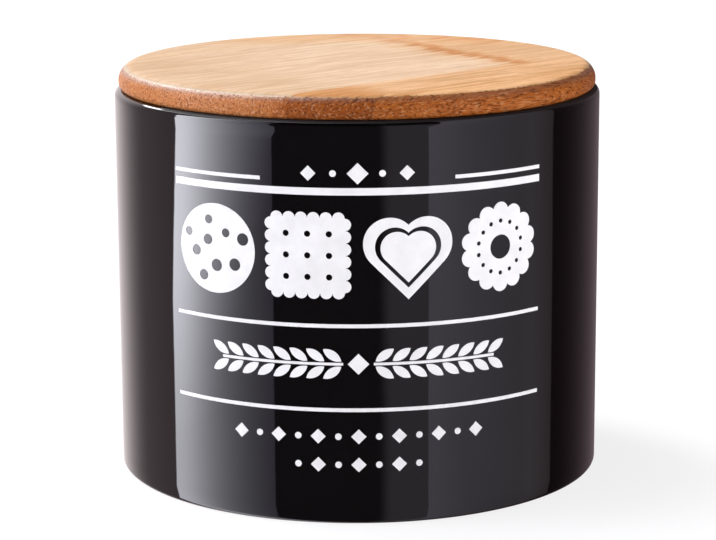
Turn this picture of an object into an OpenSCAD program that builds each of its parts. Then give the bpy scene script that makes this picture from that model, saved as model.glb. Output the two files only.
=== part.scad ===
// Biscuit jar: a glazed stoneware canister with a push-in lid of glued acacia boards.
// Millimetres. Z runs up the axis from the surface the jar stands on; the printed front faces -Y.

/* [Jar] */
// Outside diameter of the jar
body_d = 170; // [160:1:200]
// Height of the jar from its foot to its rim
body_h = 134.5; // [130:0.5:170]
// Thickness of the side wall
wall_t = 6; // [5:0.25:8]
// Thickness of the floor over the foot recess
floor_t = 5; // [4:0.5:8]
// Outside radius where the wall turns in to the foot
base_round = 1.5; // [0.5:0.1:3]
// Inside radius between the floor and the wall
floor_round = 10; // [4:0.5:20]
// Rounding of the rim's outer edge
rim_round_out = 2.5; // [1:0.25:2.5]
// Rounding of the rim's inner edge
rim_round_in = 2; // [0.5:0.25:2]
// Width of the unglazed ring that the jar stands on
foot_w = 9; // [5:0.5:20]
// Depth of the recess inside the foot ring
foot_recess = 2; // [1:0.25:4]

/* [Lid boards] */
// How far the lid's edge stands inside the jar's outside wall
lid_inset = 1.5; // [0.5:0.25:2]
// Thickness of the boards
board_t = 8; // [7.5:0.5:12]
// Rounding of the lid's upper edge
lid_round_top = 5; // [2:0.5:5.5]
// Rounding of the lid's lower edge
lid_round_bottom = 2; // [0.5:0.25:2]
// Direction of the grain, anticlockwise from +X
grain_angle = 42; // [0:1:90]
// Distance from the lid's centre to the wide board's glue joint
wide_joint = 44; // [20:1:50]
// Width of the narrow board beside the wide one
narrow_board_w = 21; // [12:0.5:24]

/* [Lid plug and seal] */
// Depth of the plug below the boards
plug_h = 9; // [8:0.5:16]
// Space between the plug and the jar's wall, which the seal's lips cross
plug_gap = 3.5; // [2.5:0.25:5]
// Chamfer round the plug's lower edge
plug_chamfer = 1.5; // [0.5:0.25:2]
// Distance from the boards' underside to the seal's groove
groove_drop = 2; // [1.5:0.25:3]
// Height of the groove
groove_h = 4; // [3:0.25:4.5]
// Depth of the groove into the plug
groove_depth = 2.5; // [1.5:0.25:4]
// Clearance between the seal and the groove that it turns in
seal_fit = 0.1; // [0.05:0.05:0.3]
// Clearance between the seal's lips and the jar's wall
lip_gap = 0.3; // [0.1:0.05:0.6]
// Thickness of a lip where it leaves the ring
lip_t = 1.1; // [0.8:0.1:1.4]
// How far a lip's tip rises above its root
lip_rise = 0.6; // [0.2:0.1:0.8]

/* [Print] */
// Thickness of the fired-on enamel
print_t = 0.15; // [0.1:0.05:0.4]
// Half the width of the print, measured round the jar
print_half_w = 66.5; // [62:0.5:75]
// Distance from the rim down to the two short rules
print_drop = 18.35; // [12:0.05:22]
// Height of a thin rule
rule_t = 1.25; // [0.8:0.05:2]
// Height of the wide rule
wide_rule_t = 2.4; // [1.5:0.1:4]
// Bare space between the short rules and the wide rule
upper_space = 1.9; // [1:0.1:3]
// Half the width left open between the two short rules
upper_open_half = 32.4; // [24:0.2:40]
// How far the crest of lozenges and dots sits above the short rules' middle
crest_rise = 2.2; // [2.2:0.1:4]
// Space for the biscuits between the wide rule and the middle rule
biscuit_space = 42.6; // [38:0.1:46]
// Space for the wheat sprig between the middle rule and the low rule
sprig_space = 27; // [22:0.1:30]
// Distance from the low rule down to the first row of dots
dots_drop = 8.4; // [6:0.2:10]
// Distance between the two rows of dots
dots_pitch_v = 9.6; // [7:0.2:11]

/* [Printed motifs] */
// Diameter of a printed biscuit
biscuit_d = 30; // [24:0.5:32]
// Distance between biscuits, measured round the jar
biscuit_pitch = 33; // [32.5:0.25:34]
// How far the biscuits and the sprig sit above the middle of their spaces
motif_rise = 1.4; // [0:0.1:2]
// Length of one printed wheat grain
grain_l = 7.2; // [5:0.2:8]
// Width of one printed wheat grain
grain_w = 3; // [2:0.1:3.4]
// Lean of the wheat grains away from the stem
grain_lean = 34; // [25:1:45]
// Distance between wheat grains along the stem
grain_pitch = 5.6; // [5:0.1:6]
// Number of grain pairs on each side of the sprig's middle
grain_pairs = 8; // [4:1:8]
// Height of the sprig's stem
stem_t = 0.9; // [0.6:0.1:1.4]
// Distance across a printed lozenge
lozenge_w = 5; // [3:0.2:6]
// Diameter of a printed dot
dot_d = 2.2; // [1.2:0.1:3]
// Distance between a lozenge and the dot beside it, measured round the jar
dots_pitch = 6.7; // [6:0.1:7]

/* [Hidden] */
$fn = 144;

body_r = body_d / 2;
mouth_r = body_r - wall_t;
floor_z = foot_recess + floor_t;
foot_out_r = body_r - base_round;
foot_in_r = foot_out_r - foot_w;
recess_round = foot_recess / 2;

lid_r = body_r - lid_inset;
plug_r = mouth_r - plug_gap;
groove_r = plug_r - groove_depth;
groove_top_z = body_h - groove_drop;

lip_r = mouth_r - lip_gap;
seal_top_z = groove_top_z - seal_fit;
seal_h = groove_h - 2 * seal_fit;
seal_in_r = groove_r + seal_fit;
seal_out_r = plug_r + plug_gap / 4;
lip_tip_t = lip_t / 2;
lip_pitch = seal_h - lip_t - lip_rise;

upper_rule_z = body_h - print_drop - rule_t;
wide_rule_z = upper_rule_z - upper_space - wide_rule_t;
middle_rule_z = wide_rule_z - biscuit_space - rule_t;
low_rule_z = middle_rule_z - sprig_space - rule_t;
biscuits_z = wide_rule_z - biscuit_space / 2 + motif_rise;
sprig_z = middle_rule_z - sprig_space / 2 + motif_rise;
crest_z = upper_rule_z + rule_t / 2 + crest_rise;
dots_z = low_rule_z - dots_drop;

biscuit_kinds = 4;
large_lozenge_w = lozenge_w * 1.4;
crest_pitch = dots_pitch * 1.2;
cut_over = 1;

function arc_angle(arc) = arc / body_r * 180 / PI;

// Half section of a disc from z0 to z1 with its outer corners rounded.
module disc_section(r, z0, z1, low_round, high_round) {
    translate([0, z0])
        square([r - low_round, z1 - z0 - high_round]);
    translate([0, z0 + low_round])
        square([r, z1 - z0 - low_round - high_round]);
    translate([0, z0 + low_round])
        square([r - high_round, z1 - z0 - low_round]);
    if (low_round > 0)
        translate([r - low_round, z0 + low_round])
            intersection() {
                circle(low_round);
                translate([0, -low_round])
                    square(low_round);
            }
    if (high_round > 0)
        translate([r - high_round, z1 - high_round])
            intersection() {
                circle(high_round);
                square(high_round);
            }
}

// Half section of the space inside the jar, flared where the rim is rounded.
module cavity_section() {
    disc_section(mouth_r, floor_z, body_h + cut_over, floor_round, 0);
    difference() {
        translate([mouth_r - cut_over, body_h - rim_round_in])
            square([cut_over + rim_round_in, rim_round_in + cut_over]);
        translate([mouth_r + rim_round_in, body_h - rim_round_in])
            circle(rim_round_in);
    }
}

module jar_body() {
    color("#141213")
        rotate_extrude()
            difference() {
                disc_section(body_r, 0, body_h, base_round, rim_round_out);
                cavity_section();
                disc_section(foot_in_r, -cut_over, foot_recess, 0, recess_round);
            }
}

// The lid as one turned disc, before it is parted into its boards.
module lid_disc() {
    rotate_extrude()
        disc_section(lid_r, body_h, body_h + board_t, lid_round_bottom, lid_round_top);
}

// The part of the lid between two lines along the grain, given by their distances from its centre.
module lid_board(near, far) {
    intersection() {
        lid_disc();
        rotate([0, 0, grain_angle])
            translate([-lid_r - cut_over, -far, body_h - cut_over])
                cube([2 * (lid_r + cut_over), far - near, board_t + 2 * cut_over]);
    }
}

module lid_board_wide() {
    color("#eccdae")
        lid_board(-lid_r - cut_over, wide_joint);
}

module lid_board_narrow() {
    color("#d8a070")
        lid_board(wide_joint, wide_joint + narrow_board_w);
}

module lid_board_edge() {
    color("#e4b487")
        lid_board(wide_joint + narrow_board_w, lid_r + cut_over);
}

module lid_plug() {
    color("#b97a48")
        difference() {
            union() {
                translate([0, 0, body_h - plug_h + plug_chamfer])
                    cylinder(r = plug_r, h = plug_h - plug_chamfer);
                translate([0, 0, body_h - plug_h])
                    cylinder(r1 = plug_r - plug_chamfer, r2 = plug_r, h = plug_chamfer);
            }
            translate([0, 0, groove_top_z - groove_h])
                difference() {
                    cylinder(r = plug_r + cut_over, h = groove_h);
                    cylinder(r = groove_r, h = groove_h);
                }
        }
}

// Half section of one lip, from its root in the ring to its tip at the jar's wall.
module lip_section(root_z) {
    polygon([
        [seal_in_r, root_z],
        [seal_out_r, root_z],
        [lip_r, root_z + lip_rise],
        [lip_r, root_z + lip_rise + lip_tip_t],
        [seal_out_r, root_z + lip_t],
        [seal_in_r, root_z + lip_t]
    ]);
}

module seal_ring() {
    color("#d9d7cf")
        rotate_extrude()
            translate([0, seal_top_z - seal_h]) {
                translate([seal_in_r, 0])
                    square([seal_out_r - seal_in_r, seal_h]);
                for (i = [0, 1])
                    lip_section(i * lip_pitch);
            }
}

// A plain rule round the jar from one arc length to another, with its lower edge at z.
module rule(arc_from, arc_to, z, height) {
    rotate([0, 0, arc_angle(arc_from) - 90])
        rotate_extrude(angle = arc_angle(arc_to - arc_from))
            translate([body_r, z])
                square([print_t, height]);
}

module print_rules() {
    color("#f1f1ef") {
        rule(-print_half_w, -upper_open_half, upper_rule_z, rule_t);
        rule(upper_open_half, print_half_w, upper_rule_z, rule_t);
        rule(-print_half_w, print_half_w, wide_rule_z, wide_rule_t);
        rule(-print_half_w, print_half_w, middle_rule_z, rule_t);
        rule(-print_half_w, print_half_w, low_rule_z, rule_t);
    }
}

// Keeps only the skin of enamel that flat motifs leave on the jar between two heights.
module on_skin(z0, z1) {
    intersection() {
        translate([0, 0, z0])
            difference() {
                cylinder(r = body_r + print_t, h = z1 - z0);
                translate([0, 0, -cut_over])
                    cylinder(r = body_r, h = z1 - z0 + 2 * cut_over);
            }
        union()
            children();
    }
}

// Stands a flat motif up against the jar, centred at an arc length from the front and a height.
module stamp(arc, z) {
    rotate([0, 0, arc_angle(arc)])
        translate([0, -body_r - print_t - cut_over, z])
            rotate([-90, 0, 0])
                mirror([0, 1, 0])
                    linear_extrude(height = body_r / 8)
                        children();
}

// A round biscuit with chips, set out by the golden angle.
module chip_biscuit(d) {
    chips = 9;
    golden_angle = 137.5;
    difference() {
        circle(d = d);
        for (i = [1:chips])
            rotate(i * golden_angle)
                translate([d * 0.4 * sqrt(i / chips), 0])
                    circle(d = d * (0.1 + 0.02 * (i % 3)));
    }
}

// A square cracker with a scalloped edge and nine docking holes.
module cracker(d) {
    side = d * 0.82;
    scallops = 6;
    scallop_pitch = side / scallops;
    difference() {
        union() {
            square(side, center = true);
            for (turn = [0, 90, 180, 270], i = [0.5:scallops - 0.5])
                rotate(turn)
                    translate([i * scallop_pitch - side / 2, side / 2])
                        circle(d = scallop_pitch);
        }
        for (x = [-1:1], y = [-1:1])
            translate([x, y] * side * 0.29)
                circle(d = d * 0.07);
    }
}

// A plain heart: a square on its corner with a half circle on each upper side.
module heart(d) {
    side = d * 0.58;
    translate([0, -d * 0.08])
        rotate(45) {
            square(side, center = true);
            translate([0, side / 2])
                circle(d = side);
            translate([side / 2, 0])
                circle(d = side);
        }
}

// A heart biscuit with a line of bare glaze round its icing.
module heart_biscuit(d) {
    heart(d * 0.62);
    difference() {
        heart(d);
        heart(d * 0.74);
    }
}

// A round biscuit with a scalloped edge, a ring of docking holes and a hole for jam.
module jam_biscuit(d) {
    scallops = 14;
    scallop_d = PI * d * 0.88 / scallops;
    difference() {
        union() {
            circle(d = d - scallop_d);
            for (i = [1:scallops])
                rotate(i * 360 / scallops)
                    translate([(d - scallop_d) / 2, 0])
                        circle(d = scallop_d);
        }
        circle(d = d * 0.27);
        for (i = [1:scallops])
            rotate((i + 0.5) * 360 / scallops)
                translate([d * 0.29, 0])
                    circle(d = d * 0.05);
    }
}

module biscuit(kind, d) {
    if (kind == 0)
        chip_biscuit(d);
    if (kind == 1)
        cracker(d);
    if (kind == 2)
        heart_biscuit(d);
    if (kind == 3)
        jam_biscuit(d);
}

module print_biscuits() {
    color("#f1f1ef")
        on_skin(biscuits_z - biscuit_d / 2 - cut_over, biscuits_z + biscuit_d / 2 + cut_over)
            for (i = [0:biscuit_kinds - 1])
                stamp((i - (biscuit_kinds - 1) / 2) * biscuit_pitch, biscuits_z)
                    biscuit(i, biscuit_d);
}

// One wheat grain: the lens where two equal circles cross, its lower tip at the origin.
module wheat_grain(l, w) {
    lens_r = (l * l + w * w) / (4 * w);
    translate([0, l / 2])
        intersection() {
            translate([lens_r - w / 2, 0])
                circle(lens_r);
            translate([w / 2 - lens_r, 0])
                circle(lens_r);
        }
}

// A lozenge: a square on its corner.
module lozenge(w) {
    rotate(45)
        square(w / sqrt(2), center = true);
}

module print_sprig() {
    reach = grain_l + grain_w;
    stem_end = grain_pitch * (grain_pairs + 0.4);
    color("#f1f1ef") {
        for (side = [-1, 1])
            rule(side < 0 ? -stem_end : lozenge_w, side < 0 ? -lozenge_w : stem_end,
                sprig_z - stem_t / 2, stem_t);
        on_skin(sprig_z - reach, sprig_z + reach) {
            stamp(0, sprig_z)
                lozenge(large_lozenge_w);
            for (side = [-1, 1], up = [-1, 1], i = [1:grain_pairs])
                stamp(side * i * grain_pitch, sprig_z)
                    translate([0, up * stem_t])
                        rotate(up > 0 ? -side * (90 - grain_lean) : side * (90 - grain_lean) + 180)
                            wheat_grain(grain_l, grain_w);
        }
    }
}

// A row of lozenges with a dot between each two, centred on the front.
module dot_row(z, steps) {
    for (i = [-steps:steps])
        stamp(i * dots_pitch, z)
            if (i % 2 == 0)
                lozenge(lozenge_w);
            else
                circle(d = dot_d);
}

module print_dots() {
    color("#f1f1ef") {
        on_skin(dots_z - dots_pitch_v - lozenge_w, dots_z + lozenge_w) {
            dot_row(dots_z, 6);
            dot_row(dots_z - dots_pitch_v, 3);
        }
        on_skin(crest_z - lozenge_w, crest_z + lozenge_w)
            for (i = [-2:2])
                stamp(i * crest_pitch, crest_z)
                    if (i % 2 == 0)
                        lozenge(i == 0 ? large_lozenge_w : lozenge_w);
                    else
                        circle(d = dot_d);
    }
}

jar_body();
lid_board_wide();
lid_board_narrow();
lid_board_edge();
lid_plug();
seal_ring();
print_rules();
print_biscuits();
print_sprig();
print_dots();
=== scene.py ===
"""Biscuit jar: a black glazed stoneware canister with white enamel print and a push-in lid of glued acacia boards.

Metres. Z runs up the jar's axis from the surface it stands on, and the printed front faces -Y.
"""

from math import atan2, cos, pi, radians, sin, sqrt

import bmesh
import bpy
from mathutils import Matrix, Vector


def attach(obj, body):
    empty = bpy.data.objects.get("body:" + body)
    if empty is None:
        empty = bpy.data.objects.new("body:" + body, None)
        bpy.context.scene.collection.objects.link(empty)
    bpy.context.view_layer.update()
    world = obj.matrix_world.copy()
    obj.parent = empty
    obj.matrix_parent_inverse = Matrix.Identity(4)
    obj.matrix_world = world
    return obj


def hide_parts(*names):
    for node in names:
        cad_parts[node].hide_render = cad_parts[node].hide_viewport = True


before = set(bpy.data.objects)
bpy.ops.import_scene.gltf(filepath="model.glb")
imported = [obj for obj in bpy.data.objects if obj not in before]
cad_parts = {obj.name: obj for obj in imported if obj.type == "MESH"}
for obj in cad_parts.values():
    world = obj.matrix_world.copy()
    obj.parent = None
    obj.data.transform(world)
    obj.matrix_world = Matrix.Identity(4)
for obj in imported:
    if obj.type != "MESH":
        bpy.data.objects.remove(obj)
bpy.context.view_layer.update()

# ---------------------------------------------------------------------------------------------------------
# The canister. One slip-cast stoneware pot with a thick, even wall, dipped in a deep black gloss glaze
# inside and out. Its foot ring is wiped clean before firing, so pale clay shows only where it stands.
BODY_R, BODY_H, MOUTH_R = 0.085, 0.1345, 0.079
FLOOR_Z, FOOT_RING_R, FOOT_RECESS = 0.007, 0.0745, 0.002
TURNED_STEPS, LONGEST_EDGE = 192, 0.004
CLAY_TOP, CLAY_FADED, GLAZE_BREAK_TOP = 0.0001, 0.00025, 0.0010
RUBBED_FROM_Z, RUBBED_FROM_X = 0.1337, -0.0663
RUBBED_ROUGHNESS, CLAY_ROUGHNESS, GLAZE_IOR = 0.72, 0.85, 1.65


def turned(corners, closed=False):
    """Spins a half section round the axis. Each corner is (radius, height, rounding)."""
    bm = bmesh.new()
    verts = [bm.verts.new((r, 0, z)) for r, z, _ in corners]
    pairs = list(zip(verts, verts[1:]))
    if closed:
        pairs.append((verts[-1], verts[0]))
    for a, b in pairs:
        bm.edges.new((a, b))
    for vert, (_, _, rounding) in zip(verts, corners):
        if rounding:
            bmesh.ops.bevel(
                bm, geom=[vert], offset=rounding, segments=max(3, round(4 + rounding * 1600)),
                profile=0.5, affect="VERTICES", material=-1, clamp_overlap=False,
            )
    for edge in [e for e in bm.edges if e.calc_length() > LONGEST_EDGE]:
        bmesh.ops.subdivide_edges(bm, edges=[edge], cuts=int(edge.calc_length() / LONGEST_EDGE))
    bmesh.ops.spin(
        bm, geom=bm.verts[:] + bm.edges[:], cent=(0, 0, 0), axis=(0, 0, 1),
        angle=2 * pi, steps=TURNED_STEPS, use_merge=True, use_duplicate=False,
    )
    bmesh.ops.remove_doubles(bm, verts=bm.verts[:], dist=1e-6)
    bmesh.ops.recalc_face_normals(bm, faces=bm.faces[:])
    return bm


def piece(name, bm, material, body, node, crease=radians(35)):
    """Makes the mesh an object that stands for its CAD node and moves with its body."""
    for face in bm.faces:
        face.smooth = True
    for edge in bm.edges:
        if edge.is_manifold and edge.calc_face_angle(0) > crease:
            edge.smooth = False
    mesh = bpy.data.meshes.new(name)
    bm.to_mesh(mesh)
    bm.free()
    mesh.materials.append(material)
    obj = bpy.data.objects.new(name, mesh)
    bpy.context.scene.collection.objects.link(obj)
    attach(obj, body)
    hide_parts(node)
    return obj


def new_material(name):
    material = bpy.data.materials.new(name)
    material.use_nodes = True
    return material, material.node_tree, material.node_tree.nodes["Principled BSDF"]


def add(tree, kind, feeds=None, **settings):
    """Adds a node. A feed that is a socket is linked, and any other is set as the input's value."""
    node = tree.nodes.new("ShaderNode" + kind)
    for key, value in settings.items():
        setattr(node, key, value)
    for key, value in (feeds or {}).items():
        if isinstance(value, bpy.types.NodeSocket):
            tree.links.new(value, node.inputs[key])
        else:
            node.inputs[key].default_value = value
    return node


def maths(tree, operation, *values):
    return add(tree, "Math", dict(enumerate(values)), operation=operation).outputs[0]


def fade(tree, value, low, high, to_low=0.0, to_high=1.0, kind="SMOOTHSTEP"):
    """Turns value from low..high into to_low..to_high, held at both ends."""
    feeds = {"Value": value, "From Min": low, "From Max": high, "To Min": to_low, "To Max": to_high}
    return add(tree, "MapRange", feeds, interpolation_type=kind).outputs["Result"]


def blend_colour(tree, factor, a, b, kind="MIX"):
    return add(tree, "Mix", {0: factor, 6: a, 7: b}, data_type="RGBA", blend_type=kind).outputs[2]


def blend_value(tree, factor, a, b):
    return add(tree, "Mix", {0: factor, 2: a, 3: b}, data_type="FLOAT").outputs[0]


def cloud(tree, vector, scale, detail=2.0, seed=0.0, roughness=0.5):
    feeds = {"Vector": vector, "Scale": scale, "Detail": detail, "W": seed, "Roughness": roughness}
    return add(tree, "TexNoise", feeds, noise_dimensions="4D").outputs["Fac"]


glaze, tree, shader = new_material("black_glaze")
where = add(tree, "TexCoord").outputs["Object"]
sideways, _, height = add(tree, "SeparateXYZ", {0: where}).outputs
ripple = cloud(tree, where, 42.0)
uneven_height = maths(tree, "ADD", height, maths(tree, "MULTIPLY", ripple, 0.0001))
bare_clay = fade(tree, uneven_height, CLAY_TOP, CLAY_FADED, 1.0, 0.0)
thin_glaze = maths(tree, "MULTIPLY", fade(tree, height, 0.0003, GLAZE_BREAK_TOP, 1.0, 0.0), 0.4)
black = blend_colour(tree, thin_glaze, (0.0014, 0.0010, 0.0012, 1), (0.010, 0.005, 0.003, 1))
clay = blend_colour(tree, cloud(tree, where, 900.0, 3.0), (0.42, 0.33, 0.24, 1), (0.56, 0.46, 0.35, 1))
smear = fade(tree, cloud(tree, where, 11.0, 3.0), 0.35, 0.65, 0.018, 0.034)
rubbed = maths(
    tree, "MULTIPLY", fade(tree, height, RUBBED_FROM_Z, RUBBED_FROM_Z + 0.0002),
    fade(tree, sideways, RUBBED_FROM_X, RUBBED_FROM_X + 0.0028),
)
tree.links.new(blend_colour(tree, bare_clay, black, clay), shader.inputs["Base Color"])
tree.links.new(
    blend_value(tree, bare_clay, blend_value(tree, rubbed, smear, RUBBED_ROUGHNESS), CLAY_ROUGHNESS),
    shader.inputs["Roughness"],
)
long_ripple = add(tree, "Bump", {"Height": ripple, "Strength": 1.0, "Distance": 0.00004}).outputs[0]
orange_peel = add(
    tree, "Bump", {"Height": cloud(tree, where, 380.0), "Strength": 1.0, "Distance": 0.0000012, "Normal": long_ripple}
).outputs[0]
tree.links.new(orange_peel, shader.inputs["Normal"])
shader.inputs["IOR"].default_value = GLAZE_IOR

piece(
    "canister",
    turned([
        (0, FLOOR_Z, 0), (MOUTH_R, FLOOR_Z, 0.010), (MOUTH_R, BODY_H, 0.002), (BODY_R, BODY_H, 0.0025),
        (BODY_R, 0, 0.0015), (FOOT_RING_R, 0, 0.0004), (FOOT_RING_R, FOOT_RECESS, 0.001), (0, FOOT_RECESS, 0),
    ]),
    glaze, "jar", "jar_body", crease=radians(60),
)

# ---------------------------------------------------------------------------------------------------------
# The printed rules. White enamel, screened on and fired into the glaze, so they stand a hair proud of it:
# two short rules with a gap between them, a wide one close below, and two long ones further down.
PRINT_T, PRINT_SUNK, PRINT_HALF_W, OPEN_HALF = 0.00015, 0.00004, 0.0665, 0.0324
COLUMN_W, COLUMNS_HALF_W = 0.002, 0.068
RULE_T, WIDE_RULE_T, BISCUIT_SPACE, SPRIG_SPACE, MOTIF_RISE = 0.00125, 0.0024, 0.0426, 0.0270, 0.0014
UPPER_RULE_Z = BODY_H - 0.01835 - RULE_T
WIDE_RULE_Z = UPPER_RULE_Z - 0.0019 - WIDE_RULE_T
MIDDLE_RULE_Z = WIDE_RULE_Z - BISCUIT_SPACE - RULE_T
LOW_RULE_Z = MIDDLE_RULE_Z - SPRIG_SPACE - RULE_T
FACING_FRONT = Matrix.Rotation(radians(90), 4, "X")


def rule(bm, start, end, z, rule_height):
    """A flat strip, in arc lengths round the jar from the middle of the front."""
    places = (start, z), (end, z), (end, z + rule_height), (start, z + rule_height)
    corners = [bm.verts.new((x, 0, height)) for x, height in places]
    edges = [bm.edges.new((corners[i], corners[i - 1])) for i in range(4)]
    bmesh.ops.triangle_fill(bm, use_beauty=True, edges=edges, normal=(0, -1, 0))


def fired_on(bm):
    """Thickens the flat print, cuts it into narrow upright columns and wraps it round the jar."""
    bmesh.ops.recalc_face_normals(bm, faces=bm.faces[:])
    front = bm.faces[:]
    front_verts = {v for f in front for v in f.verts}
    rim = {e for f in front for e in f.edges if e.is_boundary}
    back = bmesh.ops.duplicate(bm, geom=front)["vert_map"]
    for edge in rim:
        a, b = edge.verts
        bm.faces.new((a, b, back[b], back[a]))
    for vert in front_verts:
        vert.co.y, back[vert].co.y = PRINT_T, -PRINT_SUNK
    x = -COLUMNS_HALF_W
    while x < COLUMNS_HALF_W:
        everything = bm.verts[:] + bm.edges[:] + bm.faces[:]
        bmesh.ops.bisect_plane(bm, geom=everything, plane_co=(x, 0, 0), plane_no=(1, 0, 0))
        x += COLUMN_W
    bmesh.ops.recalc_face_normals(bm, faces=bm.faces[:])
    for vert in bm.verts:
        turn, out = vert.co.x / BODY_R, BODY_R + vert.co.y
        vert.co.x, vert.co.y = out * sin(turn), -out * cos(turn)
    # The wrap mirrors the print, so its faces are turned back once.
    bmesh.ops.reverse_faces(bm, faces=bm.faces[:])
    return bm


enamel, tree, shader = new_material("white_enamel")
where = add(tree, "TexCoord").outputs["Object"]
ink = fade(tree, cloud(tree, where, 160.0, 4.0, roughness=0.6), 0.3, 0.7)
tree.links.new(blend_colour(tree, ink, (0.80, 0.80, 0.79, 1), (0.87, 0.87, 0.865, 1)), shader.inputs["Base Color"])
tree.links.new(fade(tree, cloud(tree, where, 900.0), 0.3, 0.7, 0.30, 0.42), shader.inputs["Roughness"])
tree.links.new(
    add(tree, "Bump", {"Height": cloud(tree, where, 1400.0, 3.0), "Strength": 1.0, "Distance": 0.00001}).outputs[0],
    shader.inputs["Normal"],
)

rules = bmesh.new()
rule(rules, -PRINT_HALF_W, -OPEN_HALF, UPPER_RULE_Z, RULE_T)
rule(rules, OPEN_HALF, PRINT_HALF_W, UPPER_RULE_Z, RULE_T)
rule(rules, -PRINT_HALF_W, PRINT_HALF_W, WIDE_RULE_Z, WIDE_RULE_T)
rule(rules, -PRINT_HALF_W, PRINT_HALF_W, MIDDLE_RULE_Z, RULE_T)
rule(rules, -PRINT_HALF_W, PRINT_HALF_W, LOW_RULE_Z, RULE_T)
piece("rules_print", fired_on(rules), enamel, "jar", "print_rules")

# ---------------------------------------------------------------------------------------------------------
# The row of printed biscuits between the wide rule and the middle rule, in the same enamel: a chip biscuit,
# a square cracker, a heart with iced edge and a round jam biscuit, with bare glaze for their holes.
BISCUIT_D, BISCUIT_PITCH = 0.030, 0.033
BISCUITS_Z = WIDE_RULE_Z - BISCUIT_SPACE / 2 + MOTIF_RISE


def ring(bm, x, z, diameter, segments=28):
    """A round outline; with four segments it is a lozenge."""
    made = bmesh.ops.create_circle(
        bm, cap_ends=False, segments=segments, radius=diameter / 2,
        matrix=Matrix.Translation((x, 0, z)) @ FACING_FRONT,
    )
    return list({e for v in made["verts"] for e in v.link_edges})


def arc(bm, vert, x, z, angle, steps):
    """Draws on from vert along an arc round (x, z), clockwise as the front is seen."""
    made = bmesh.ops.spin(
        bm, geom=[vert], cent=(x, 0, z), axis=(0, 1, 0), angle=angle, steps=steps, use_duplicate=False
    )
    return next(g for g in made["geom_last"] if isinstance(g, bmesh.types.BMVert))


def close_and_fill(bm, first, last, edges_before):
    """Joins the last point of an outline to its first, and fills all that was drawn since, round its holes."""
    if (first.co - last.co).length < 1e-5:
        bmesh.ops.pointmerge(bm, verts=[first, last], merge_co=first.co)
    else:
        bm.edges.new((first, last))
    drawn = [e for e in bm.edges if e not in edges_before]
    bmesh.ops.triangle_fill(bm, use_beauty=True, edges=drawn, normal=(0, -1, 0))


def chip_biscuit(bm, x, z, d):
    edges = ring(bm, x, z, d, 96)
    for i in range(1, 10):
        turn, out = radians(i * 137.5), d * 0.4 * sqrt(i / 9)
        edges += ring(bm, x + out * cos(turn), z + out * sin(turn), d * (0.1 + 0.02 * (i % 3)))
    bmesh.ops.triangle_fill(bm, use_beauty=True, edges=edges, normal=(0, -1, 0))


def cracker(bm, x, z, d):
    side, scallops = d * 0.82, 6
    pitch = side / scallops
    before = set(bm.edges)
    first = last = bm.verts.new((x - side / 2, 0, z + side / 2))
    for along in ((1, 0), (0, -1), (-1, 0), (0, 1)):
        for _ in range(scallops):
            last = arc(bm, last, last.co.x + along[0] * pitch / 2, last.co.z + along[1] * pitch / 2, pi, 8)
    for i in (-1, 0, 1):
        for j in (-1, 0, 1):
            ring(bm, x + i * side * 0.29, z + j * side * 0.29, d * 0.07, 20)
    close_and_fill(bm, first, last, before)


def heart(bm, x, z, d):
    """The outline of a heart: a square on its corner with a half circle on each upper side."""
    half, z = d * 0.58 / sqrt(2), z - d * 0.08
    first = bm.verts.new((x, 0, z - half))
    last = bm.verts.new((x - half, 0, z))
    bm.edges.new((first, last))
    last = arc(bm, last, x - half / 2, z + half / 2, pi, 24)
    last = arc(bm, last, x + half / 2, z + half / 2, pi, 24)
    return first, last


def heart_biscuit(bm, x, z, d):
    before = set(bm.edges)
    first, last = heart(bm, x, z, d * 0.62)
    close_and_fill(bm, first, last, before)
    before = set(bm.edges)
    first, last = heart(bm, x, z, d * 0.74)
    bm.edges.new((first, last))
    first, last = heart(bm, x, z, d)
    close_and_fill(bm, first, last, before)


def jam_biscuit(bm, x, z, d):
    scallops = 14
    scallop_r, step = pi * d * 0.88 / scallops / 2, 2 * pi / scallops
    centre_r = d / 2 - scallop_r
    meet_r = centre_r * cos(step / 2) + sqrt(scallop_r**2 - (centre_r * sin(step / 2)) ** 2)
    half = atan2(meet_r * sin(step / 2), meet_r * cos(step / 2) - centre_r)
    before = set(bm.edges)
    first = last = bm.verts.new((x - meet_r * sin(step / 2), 0, z + meet_r * cos(step / 2)))
    for i in range(scallops):
        last = arc(bm, last, x + centre_r * sin(i * step), z + centre_r * cos(i * step), 2 * half, 9)
    ring(bm, x, z, d * 0.27, 40)
    for i in range(scallops):
        turn = (i + 1.5) * step
        ring(bm, x + d * 0.29 * cos(turn), z + d * 0.29 * sin(turn), d * 0.05, 16)
    close_and_fill(bm, first, last, before)


biscuits = bmesh.new()
for place, draw in enumerate((chip_biscuit, cracker, heart_biscuit, jam_biscuit)):
    draw(biscuits, (place - 1.5) * BISCUIT_PITCH, BISCUITS_Z, BISCUIT_D)
piece("biscuits_print", fired_on(biscuits), enamel, "jar", "print_biscuits")

# ---------------------------------------------------------------------------------------------------------
# The printed wheat sprig between the middle rule and the low rule: two thin stems that run out from a
# lozenge, with grains leaning away from them above and below.
GRAIN_L, GRAIN_W, GRAIN_LEAN, GRAIN_PITCH, GRAIN_PAIRS = 0.0072, 0.0030, radians(34), 0.0056, 8
STEM_T, LOZENGE_W = 0.0009, 0.005
SPRIG_Z = MIDDLE_RULE_Z - SPRIG_SPACE / 2 + MOTIF_RISE


def lozenge(bm, x, z, across):
    bmesh.ops.triangle_fill(bm, use_beauty=True, edges=ring(bm, x, z, across, 4), normal=(0, -1, 0))


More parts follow.
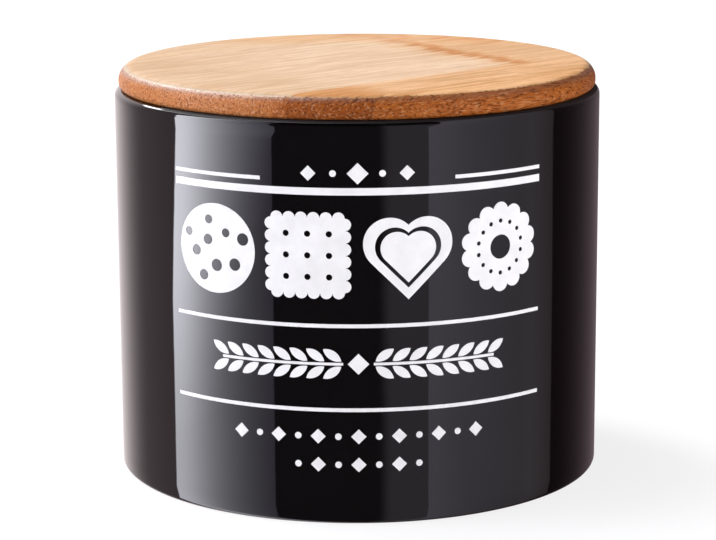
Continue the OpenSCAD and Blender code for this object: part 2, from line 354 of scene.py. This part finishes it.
def wheat_grain(bm, x, z, lean):
    """A lens with its lower tip at (x, z), leaning clockwise from upright."""
    bulge_r = (GRAIN_L**2 + GRAIN_W**2) / (4 * GRAIN_W)
    half = atan2(GRAIN_L / 2, bulge_r - GRAIN_W / 2)
    along, across = Vector((sin(lean), 0, cos(lean))), Vector((cos(lean), 0, -sin(lean)))
    tip = Vector((x, 0, z))
    before = set(bm.edges)
    first = bm.verts.new(tip)
    middle = tip + along * GRAIN_L / 2
    right, left = middle + across * (bulge_r - GRAIN_W / 2), middle - across * (bulge_r - GRAIN_W / 2)
    last = arc(bm, first, right.x, right.z, 2 * half, 12)
    last = arc(bm, last, left.x, left.z, 2 * half, 12)
    close_and_fill(bm, first, last, before)


sprig = bmesh.new()
stem_end = GRAIN_PITCH * (GRAIN_PAIRS + 0.4)
rule(sprig, -stem_end, -LOZENGE_W, SPRIG_Z - STEM_T / 2, STEM_T)
rule(sprig, LOZENGE_W, stem_end, SPRIG_Z - STEM_T / 2, STEM_T)
lozenge(sprig, 0, SPRIG_Z, LOZENGE_W * 1.4)
for side in (-1, 1):
    for i in range(1, GRAIN_PAIRS + 1):
        wheat_grain(sprig, side * i * GRAIN_PITCH, SPRIG_Z + STEM_T, side * (pi / 2 - GRAIN_LEAN))
        wheat_grain(sprig, side * i * GRAIN_PITCH, SPRIG_Z - STEM_T, side * (pi / 2 + GRAIN_LEAN))
piece("sprig_print", fired_on(sprig), enamel, "jar", "print_sprig")

# ---------------------------------------------------------------------------------------------------------
# The printed lozenges and dots: two rows under the low rule, and five more as a crest in the gap between
# the two short rules.
DOT_D, DOTS_PITCH = 0.0022, 0.0067
DOTS_Z, DOTS_ROW_PITCH = LOW_RULE_Z - 0.0084, 0.0096
CREST_Z = UPPER_RULE_Z + RULE_T / 2 + 0.0022


def dot_row(bm, z, steps, pitch, middle=LOZENGE_W):
    for i in range(-steps, steps + 1):
        if i % 2 == 0:
            lozenge(bm, i * pitch, z, LOZENGE_W if i else middle)
        else:
            dot = ring(bm, i * pitch, z, DOT_D)
            bmesh.ops.triangle_fill(bm, use_beauty=True, edges=dot, normal=(0, -1, 0))


dots = bmesh.new()
dot_row(dots, DOTS_Z, 6, DOTS_PITCH)
dot_row(dots, DOTS_Z - DOTS_ROW_PITCH, 3, DOTS_PITCH)
dot_row(dots, CREST_Z, 2, DOTS_PITCH * 1.2, LOZENGE_W * 1.4)
piece("dots_print", fired_on(dots), enamel, "jar", "print_dots")

# ---------------------------------------------------------------------------------------------------------
# The lid's boards. Three strips of oiled acacia, glued edge to edge, turned to a disc with a full rounding
# above and a small one below. A reddish figure crosses the wide board; the sides drink more oil and go dark.
LID_R, LID_BOTTOM, LID_TOP = 0.0835, 0.1345, 0.1425
GRAIN_ANGLE, WIDE_JOINT, EDGE_JOINT = radians(42), 0.044, 0.065
ACROSS_GRAIN = Vector((sin(GRAIN_ANGLE), -cos(GRAIN_ANGLE), 0))
FIGURE_ALONG, FIGURE_SLANT, CORNER_OUT, GLUE_HALF_W = 0.0432, 0.106, 0.0427, 0.00040
WHITE, WARMER_WOOD, RED_LINE = (1, 1, 1, 1), (0.965, 0.84, 0.69, 1), (0.83, 0.60, 0.40, 1)
ORANGE_CORNER, BLUSH, BACK_WOOD = (0.967, 0.845, 0.70, 1), (0.955, 0.72, 0.62, 1), (0.98, 0.94, 0.875, 1)
JOINT_STAIN, GLUE, ROUNDING_PAINTED_SHADE = (0.94, 0.83, 0.68, 1), (0.06, 0.018, 0.006, 1), (0.71, 0.75, 0.77, 1)
STAINED_SIDE, PORE_SHADE, SIDE_TOP_PAINTED_SHADE = (0.72, 0.56, 0.40, 1), (0.40, 0.32, 0.28, 1), (0.78, 0.84, 0.90, 1)


def board(near, far):
    """The part of the turned disc between two glue joints, given by their distances from its centre."""
    bm = turned([
        (0, LID_BOTTOM, 0), (LID_R, LID_BOTTOM, 0.002), (LID_R, LID_TOP, 0.005), (0, LID_TOP, 0),
    ])
    for distance, outwards in ((near, -1), (far, 1)):
        if distance is None:
            continue
        bmesh.ops.bisect_plane(
            bm, geom=bm.verts[:] + bm.edges[:] + bm.faces[:], plane_co=ACROSS_GRAIN * distance,
            plane_no=ACROSS_GRAIN * outwards, clear_outer=True,
        )
        cut = [e for e in bm.edges if e.is_boundary]
        bmesh.ops.holes_fill(bm, edges=cut, sides=0)
        bmesh.ops.bevel(
            bm, geom=cut, offset=0.00002, segments=1, profile=0.5, affect="EDGES", material=-1, clamp_overlap=True
        )
    bmesh.ops.recalc_face_normals(bm, faces=bm.faces[:])
    return bm


def oiled_wood(
    name, seed, pale, deep, side_pale, side_deep, end_tint, glue=None, side_top=LID_TOP - 0.0009, figured=False
):
    """Wood with fibres and pores that run through it along the grain: dots on a cut end, short lines on a side."""
    material, tree, shader = new_material(name)
    where = add(tree, "TexCoord").outputs["Object"]
    height = add(tree, "SeparateXYZ", {0: where}).outputs["Z"]
    log = add(tree, "Mapping", {"Vector": where, "Rotation": (0, 0, -GRAIN_ANGLE)}).outputs[0]
    along, inwards, up = add(tree, "SeparateXYZ", {0: log}).outputs
    across = maths(tree, "MULTIPLY", inwards, -1.0)

    def centred(value, size):
        return maths(tree, "MULTIPLY", maths(tree, "SUBTRACT", value, 0.5), size)

    def total(first, *others):
        for other in others:
            first = maths(tree, "ADD", first, other)
        return first

    def product(first, *others):
        for other in others:
            first = maths(tree, "MULTIPLY", first, other)
        return first

    def tinted(colour, tint, how_much=1.0):
        return blend_colour(tree, how_much, colour, tint, "MULTIPLY")

    sway = centred(cloud(tree, where, 15.0, 1.5, seed), 0.006)
    lift = centred(cloud(tree, where, 75.0, 2.0, seed + 1), 0.004)
    bent = add(tree, "CombineXYZ", {0: along, 1: total(across, sway), 2: total(up, lift)}).outputs[0]

    def drawn_out(length):
        return add(tree, "Mapping", {"Vector": bent, "Scale": (1 / length, 1, 1)}).outputs[0]

    fibres = cloud(tree, drawn_out(20), 1250.0, 3.0, seed + 2, 0.6)
    threads = cloud(tree, drawn_out(17), 460.0, 2.0, seed + 3, 0.6)
    bundles = cloud(tree, drawn_out(24), 190.0, 2.0, seed + 4, 0.55)
    patches = cloud(tree, drawn_out(3.5), 34.0, 3.0, seed + 5)
    pores = fade(tree, cloud(tree, drawn_out(6), 1700.0, 1.0, seed + 6), 0.50, 0.66)
    flecks = fade(tree, cloud(tree, drawn_out(5), 1400.0, 1.0, seed + 7), 0.52, 0.68)

    face_tone = total(0.5, centred(fibres, 1.6), centred(threads, 4.0), centred(bundles, 1.8), centred(patches, 1.5))
    top = blend_colour(tree, add(tree, "Clamp", {"Value": face_tone}).outputs[0], pale, deep)
    from_end = total(along, centred(bundles, 0.020), centred(threads, 0.014))
    top = tinted(top, blend_colour(tree, fade(tree, from_end, -0.052, -0.034), end_tint, WHITE))
    if figured:
        wander = centred(cloud(tree, where, 46.0, 3.0, seed + 8), 0.010)
        drift = total(wander, centred(threads, 0.014), centred(bundles, 0.012))
        past_figure = total(along, -FIGURE_ALONG, product(across, FIGURE_SLANT), drift)
        fainter = fade(tree, total(across, drift), -0.040, -0.016, 0.30, 1.0)
        warmer = product(fade(tree, past_figure, -0.016, 0.002), fainter)
        top = tinted(top, WARMER_WOOD, warmer)
        line_start, line_end = fade(tree, past_figure, -0.006, -0.0003), fade(tree, past_figure, 0.002, 0.007, 1.0, 0.0)
        top = tinted(top, RED_LINE, product(line_start, line_end, fainter))
        ragged = total(centred(patches, 0.02), centred(threads, 0.012))
        past_corner = total(product(along, 0.673), product(across, -0.739), -CORNER_OUT, ragged)
        top = tinted(top, ORANGE_CORNER, fade(tree, past_corner, 0.0, 0.020))
        blush = fade(tree, cloud(tree, drawn_out(1.6), 120.0, 3.0, seed + 9), 0.53, 0.64)
        blush = product(blush, fade(tree, past_corner, 0.004, 0.014), fade(tree, past_figure, -0.012, 0.0), 0.75)
        top = tinted(top, BLUSH, blush)
        back = fade(tree, total(across, centred(patches, 0.03)), -0.066, -0.046, 0.8, 0.0)
        top = tinted(top, BACK_WOOD, back)
        at_joint = fade(tree, total(across, centred(threads, 0.008)), WIDE_JOINT - 0.0045, WIDE_JOINT, 0.0, 0.6)
        top = tinted(top, JOINT_STAIN, at_joint)
    # Painted shade: the top's colour is darkened over the upper part of the rounding, so it looks no brighter than the
    # flat and lies darker under the highlight.
    rounding = fade(tree, height, LID_TOP - 0.0007, LID_TOP - 0.00002)
    top = blend_colour(tree, rounding, tinted(top, ROUNDING_PAINTED_SHADE), top)
    side_tone = total(0.45, centred(fibres, 2.0), centred(threads, 1.0), centred(bundles, 0.8), centred(patches, 0.9))
    side = blend_colour(tree, add(tree, "Clamp", {"Value": side_tone}).outputs[0], side_pale, side_deep)
    if figured:
        stained = fade(tree, total(across, centred(bundles, 0.016)), WIDE_JOINT - 0.010, WIDE_JOINT + 0.001)
        side = blend_colour(tree, stained, side, tinted(side, STAINED_SIDE))
    side = blend_colour(tree, product(pores, 0.80), side, tinted(side_deep, PORE_SHADE))
    side = blend_colour(tree, product(flecks, 0.38), side, blend_colour(tree, 0.5, side_pale, pale))
    # Painted shade: the upper band of the side, where the highlight falls, is darkened and greyed.
    shaded_side_top = fade(tree, height, LID_TOP - 0.0028, LID_TOP - 0.0014)
    side = blend_colour(tree, shaded_side_top, side, tinted(side, SIDE_TOP_PAINTED_SHADE))
    frayed = centred(cloud(tree, where, 700.0, 2.0, seed + 11), 0.0012)
    sanded = fade(tree, total(height, frayed), side_top - 0.00015, side_top + 0.00015)
    colour = blend_colour(tree, sanded, side, top)
    if glue:
        line = fade(tree, maths(tree, "ABSOLUTE", total(across, -glue)), 0.00010, GLUE_HALF_W, 0.38, 0.0)
        colour = blend_colour(tree, product(line, fade(tree, sanded, 0.0, 1.0, 1.0, 0.0)), colour, GLUE)
    tree.links.new(colour, shader.inputs["Base Color"])
    side_roughness = fade(tree, pores, 0.0, 1.0, 0.40, 0.62)
    tree.links.new(blend_value(tree, sanded, side_roughness, 0.55), shader.inputs["Roughness"])
    oil = product(
        fade(tree, height, LID_TOP - 0.0032, LID_TOP - 0.0012, 0.11, 0.95),
        fade(tree, height, LID_TOP - 0.0009, LID_TOP - 0.0003, 1.0, 0.05), fade(tree, pores, 0.0, 1.0, 1.0, 0.5),
    )
    tree.links.new(oil, shader.inputs["Coat Weight"])
    fine = add(tree, "Bump", {"Height": fibres, "Strength": 1.0, "Distance": 0.00005}).outputs[0]
    pitted = {"Height": pores, "Strength": 1.0, "Distance": 0.00010, "Normal": fine}
    tree.links.new(add(tree, "Bump", pitted, invert=True).outputs[0], shader.inputs["Normal"])
    shader.inputs["Specular IOR Level"].default_value = 0.12
    shader.inputs["Coat Roughness"].default_value = 0.42
    shader.inputs["Coat IOR"].default_value = 1.6
    return material


wide_wood = oiled_wood(
    "wide_board_wood", 3.0, (0.87, 0.65, 0.437, 1), (0.745, 0.50, 0.30, 1), (0.54, 0.205, 0.058, 1),
    (0.40, 0.125, 0.028, 1), (0.94, 0.91, 0.86, 1), side_top=LID_TOP - 0.0010, figured=True,
)
narrow_wood = oiled_wood(
    "narrow_board_wood", 17.0, (0.87, 0.54, 0.29, 1), (0.65, 0.355, 0.150, 1), (0.31, 0.080, 0.010, 1),
    (0.19, 0.042, 0.005, 1), (0.80, 0.62, 0.42, 1), glue=EDGE_JOINT, side_top=LID_TOP - 0.0009,
)
edge_wood = oiled_wood(
    "edge_board_wood", 31.0, (0.86, 0.515, 0.255, 1), (0.64, 0.320, 0.118, 1), (0.385, 0.108, 0.0155, 1),
    (0.245, 0.059, 0.0065, 1), (1, 1, 1, 1), glue=EDGE_JOINT, side_top=LID_TOP - 0.0006,
)
piece("wide_board", board(None, WIDE_JOINT), wide_wood, "lid", "lid_board_wide")
piece("narrow_board", board(WIDE_JOINT, EDGE_JOINT), narrow_wood, "lid", "lid_board_narrow")
piece("edge_board", board(EDGE_JOINT, None), edge_wood, "lid", "lid_board_edge")

# ---------------------------------------------------------------------------------------------------------
# The plug. A turned disc of the same timber glued under the boards, with a square groove round it for the
# seal and a chamfer that leads it into the mouth.
PLUG_R, PLUG_BOTTOM, GROOVE_R = 0.0755, 0.1255, 0.073

plug_wood = oiled_wood(
    "plug_wood", 47.0, (0.60, 0.33, 0.15, 1), (0.50, 0.25, 0.10, 1), (0.52, 0.22, 0.08, 1),
    (0.38, 0.13, 0.04, 1), (1, 1, 1, 1), side_top=PLUG_BOTTOM + 0.0002,
)
piece(
    "plug",
    turned([
        (0, PLUG_BOTTOM, 0), (PLUG_R - 0.0015, PLUG_BOTTOM, 0.0003), (PLUG_R, PLUG_BOTTOM + 0.0015, 0.0003),
        (PLUG_R, 0.1285, 0.0002), (GROOVE_R, 0.1285, 0), (GROOVE_R, 0.1325, 0), (PLUG_R, 0.1325, 0.0002),
        (PLUG_R, LID_BOTTOM, 0), (0, LID_BOTTOM, 0),
    ]),
    plug_wood, "lid", "lid_plug",
)

# ---------------------------------------------------------------------------------------------------------
# The seal. A moulded ring of milky silicone stretched into the plug's groove, with two thin lips that
# bend up against the jar's wall.
SEAL_IN_R, SEAL_OUT_R, LIP_R, SEAL_BOTTOM, SEAL_TOP = 0.0731, 0.076375, 0.0787, 0.1286, 0.1324
LIP_T, LIP_RISE, LIP_PITCH = 0.0011, 0.0006, 0.0021

silicone, tree, shader = new_material("seal_silicone")
where = add(tree, "TexCoord").outputs["Object"]
milk = fade(tree, cloud(tree, where, 120.0, 3.0), 0.3, 0.7)
tree.links.new(blend_colour(tree, milk, (0.70, 0.70, 0.66, 1), (0.78, 0.78, 0.75, 1)), shader.inputs["Base Color"])
tree.links.new(fade(tree, cloud(tree, where, 700.0), 0.3, 0.7, 0.38, 0.5), shader.inputs["Roughness"])
tree.links.new(
    add(tree, "Bump", {"Height": cloud(tree, where, 1800.0, 2.0), "Strength": 1.0, "Distance": 0.00001}).outputs[0],
    shader.inputs["Normal"],
)
shader.inputs["Subsurface Weight"].default_value = 0.25
shader.inputs["Subsurface Radius"].default_value = (0.0012, 0.0011, 0.001)
shader.inputs["Subsurface Scale"].default_value = 1.0

section = [(SEAL_IN_R, SEAL_BOTTOM, 0.0002)]
for root in (SEAL_BOTTOM, SEAL_BOTTOM + LIP_PITCH):
    section += [
        (SEAL_OUT_R, root, 0.0001), (LIP_R, root + LIP_RISE, 0.0002), (LIP_R, root + LIP_RISE + LIP_T / 2, 0.0002),
        (SEAL_OUT_R, root + LIP_T, 0.0001),
    ]
section += [(SEAL_OUT_R, SEAL_TOP, 0.0002), (SEAL_IN_R, SEAL_TOP, 0.0002)]
piece("seal", turned(section, closed=True), silicone, "seal", "seal_ring")

# ---------------------------------------------------------------------------------------------------------
# The studio: a pale table, a tall bright panel that leans back on the left, a dimmer and longer one on the
# right, dark drapes in front, a white backdrop far behind, a tall light behind on the left and two soft lamps.
table_mesh = bpy.data.meshes.new("table")
bm = bmesh.new()
bmesh.ops.create_grid(bm, x_segments=1, y_segments=1, size=9.0)
bm.to_mesh(table_mesh)
bm.free()
table = bpy.data.objects.new("table", table_mesh)
bpy.context.scene.collection.objects.link(table)
table.visible_glossy = False
pale, tree, shader = new_material("pale_table")
tree.nodes.remove(shader)
light_path = add(tree, "LightPath").outputs
seen = add(tree, "AddShader", {
    0: add(tree, "BsdfDiffuse", {"Color": (0.28, 0.28, 0.28, 1)}).outputs[0],
    1: add(tree, "Emission", {"Color": (1, 1, 1, 1), "Strength": 0.78}).outputs[0],
}).outputs[0]
lit = add(tree, "MixShader", {
    0: light_path["Is Camera Ray"], 1: add(tree, "BsdfDiffuse", {"Color": (0.80, 0.80, 0.80, 1)}).outputs[0], 2: seen,
}).outputs[0]
under = add(tree, "NewGeometry").outputs["Backfacing"]
tree.links.new(
    add(tree, "MixShader", {0: under, 1: lit, 2: add(tree, "BsdfTransparent").outputs[0]}).outputs[0],
    tree.nodes["Material Output"].inputs["Surface"],
)
table_mesh.materials.append(pale)

world = bpy.data.worlds.new("studio")
bpy.context.scene.world = world
world.use_nodes = True
tree = world.node_tree
x, y, z = add(tree, "SeparateXYZ", {0: add(tree, "TexCoord").outputs["Generated"]}).outputs
azimuth = maths(tree, "ARCTAN2", x, maths(tree, "MULTIPLY", y, -1.0))


def panel(side, lean, splay, front_edge, back_edge, shade, low_fade, high_fade, top, top_slope):
    """A panel to the left (-1) or right (1), leaning back above the jar: its light, and a mask of where it hangs."""
    out = maths(tree, "MULTIPLY", x, side)
    depth = maths(tree, "MAXIMUM", out, 0.001)
    rise = maths(tree, "DIVIDE", z, depth)
    leaning = maths(tree, "MULTIPLY", maths(tree, "MAXIMUM", maths(tree, "ADD", rise, -0.2), 0.0), lean)
    edge_shift = maths(tree, "ADD", leaning, fade(tree, rise, -0.23, -0.158, splay, 0.0, kind="LINEAR"))
    place = maths(tree, "SUBTRACT", maths(tree, "DIVIDE", y, depth), edge_shift)
    mask = fade(tree, out, 0.0, 0.02)
    mask = maths(tree, "MULTIPLY", mask, fade(tree, place, front_edge - 0.010, front_edge + 0.010))
    mask = maths(tree, "MULTIPLY", mask, fade(tree, place, back_edge - 0.008, back_edge + 0.008, 1.0, 0.0))
    past_top = maths(tree, "MULTIPLY_ADD", place, top_slope, rise)
    mask = maths(tree, "MULTIPLY", mask, fade(tree, past_top, top - 0.06, top + 0.06, 1.0, 0.0))
    level = maths(tree, "MULTIPLY", fade(tree, rise, *low_fade), fade(tree, rise, *high_fade))
    light = add(tree, "VectorMath", {0: shade(place), "Scale": level}, operation="SCALE").outputs[0]
    return light, mask


def lamp_behind(place):
    """Cloth with a lamp behind its back edge, so the light falls off to the front, where violet spill is left."""
    off = maths(tree, "DIVIDE", maths(tree, "MINIMUM", place, 0.0), 0.38)
    level = maths(tree, "DIVIDE", 1.0, maths(tree, "MULTIPLY_ADD", off, off, 1.0))
    lamp = add(tree, "VectorMath", {0: (7.6, 7.6, 8.2), "Scale": level}, operation="SCALE").outputs[0]
    return add(tree, "VectorMath", {0: lamp, 1: (0.04, 0.0, 0.12)}, operation="ADD").outputs[0]


def dim_board(place):
    """A grey board that is lit from the front and darkens towards its back edge."""
    backwards = fade(tree, place, -1.35, -0.15, kind="LINEAR")
    lit_part = blend_colour(tree, backwards, (0.80, 0.73, 0.90, 1), (0.40, 0.37, 0.41, 1))
    return blend_colour(tree, fade(tree, place, -0.02, 0.24, kind="LINEAR"), lit_part, (0.23, 0.175, 0.19, 1))


BACKDROP, LEFT_WALL, DRAPES = (1.12, 1.0, 1.02, 1), (0.38, 0.305, 0.325, 1), (0.058, 0.053, 0.058, 1)
FRONT_GAP, DARK_WALL, RIGHT_WALL = (0.33, 0.305, 0.345, 1), (0.040, 0.024, 0.028, 1), (0.205, 0.155, 0.168, 1)
TALL_LIGHT = (11.5, 11.5, 11.8, 1)
room = BACKDROP
for start, end, surface in (
    (-155, -120, LEFT_WALL), (-94, -72, DRAPES), (9, 16, FRONT_GAP), (30, 85, DARK_WALL), (106, 158, RIGHT_WALL),
    (173, 179, BACKDROP),
):
    room = blend_colour(tree, fade(tree, azimuth, radians(start), radians(end)), room, surface)
behind = fade(tree, maths(tree, "ABSOLUTE", azimuth), radians(165), radians(174))
height_level = blend_value(tree, behind, fade(tree, z, 0.50, 0.70, 1.0, 0.1), fade(tree, z, 0.10, 0.30, 1.0, 0.08))
room = add(tree, "VectorMath", {0: room, "Scale": height_level}, operation="SCALE").outputs[0]
left_light, left_mask = panel(
    -1, 0.40, 0.079, -1.270, 0.060, lamp_behind, (-0.30, -0.19, 0.58, 1.0), (1.2, 2.0, 1.0, 0.6), 0.72, 1.5
)
right_light, right_mask = panel(
    1, 0.55, 0.012, -1.555, 0.248, dim_board, (-0.4, -0.3, 0.9, 1.0), (1.4, 2.2, 1.0, 0.6), 2.3, 0.3
)
room = blend_colour(tree, left_mask, room, left_light)
room = blend_colour(tree, right_mask, room, right_light)
bent_round = maths(tree, "SUBTRACT", azimuth, maths(tree, "MULTIPLY_ADD", z, radians(54), radians(-170)))
level_part = maths(tree, "SQRT", maths(tree, "MULTIPLY_ADD", z, maths(tree, "MULTIPLY", z, -1.0), 1.0))
from_strip = maths(tree, "MULTIPLY", maths(tree, "ABSOLUTE", bent_round), level_part)
strip = maths(tree, "MULTIPLY", fade(tree, from_strip, 0.10, 0.14, 1.0, 0.0), fade(tree, z, 0.455, 0.485))
strip = maths(tree, "MULTIPLY", strip, fade(tree, z, 0.965, 0.985, 1.0, 0.0))
room = blend_colour(tree, strip, room, TALL_LIGHT)
sky = blend_colour(tree, add(tree, "LightPath").outputs["Is Camera Ray"], room, (1, 1, 1, 1))
tree.links.new(sky, tree.nodes["Background"].inputs["Color"])

for name, size, power, place in (
    ("front_lamp", 1.0, 3.0, (-0.85, -1.30, 0.50)), ("right_lamp", 0.8, 12.0, (1.18, -0.83, 0.36)),
):
    lamp_data = bpy.data.lights.new(name, "AREA")
    lamp_data.shape, lamp_data.size, lamp_data.energy = "DISK", size, power
    lamp = bpy.data.objects.new(name, lamp_data)
    bpy.context.scene.collection.objects.link(lamp)
    lamp.location = place
    lamp.rotation_euler = (Vector((0, 0, 0.12)) - lamp.location).to_track_quat("-Z", "Y").to_euler()
    lamp.visible_glossy = False

# ---------------------------------------------------------------------------------------------------------
# The camera: a long lens 0.9 m in front of the jar and a little above it, looking down at its middle.
CAMERA_PLACE, LENS_MM, SENSOR_MM = (0, -0.8925, 0.26272), 128.530, 36
LOOK_DOWN, CAMERA_ROLL = radians(12.338), radians(-0.284)

camera_data = bpy.data.cameras.new("camera")
camera = bpy.data.objects.new("camera", camera_data)
bpy.context.scene.collection.objects.link(camera)
camera_data.sensor_fit = "HORIZONTAL"
camera_data.sensor_width = SENSOR_MM
camera_data.lens = LENS_MM
camera_data.clip_start, camera_data.clip_end = 0.05, 50
camera.location = CAMERA_PLACE
camera.rotation_euler = (
    Matrix.Rotation(radians(90) - LOOK_DOWN, 3, "X") @ Matrix.Rotation(CAMERA_ROLL, 3, "Z")
).to_euler()
bpy.context.scene.camera = camera
bpy.context.scene.view_settings.view_transform = "Standard"

bpy.context.view_layer.update()
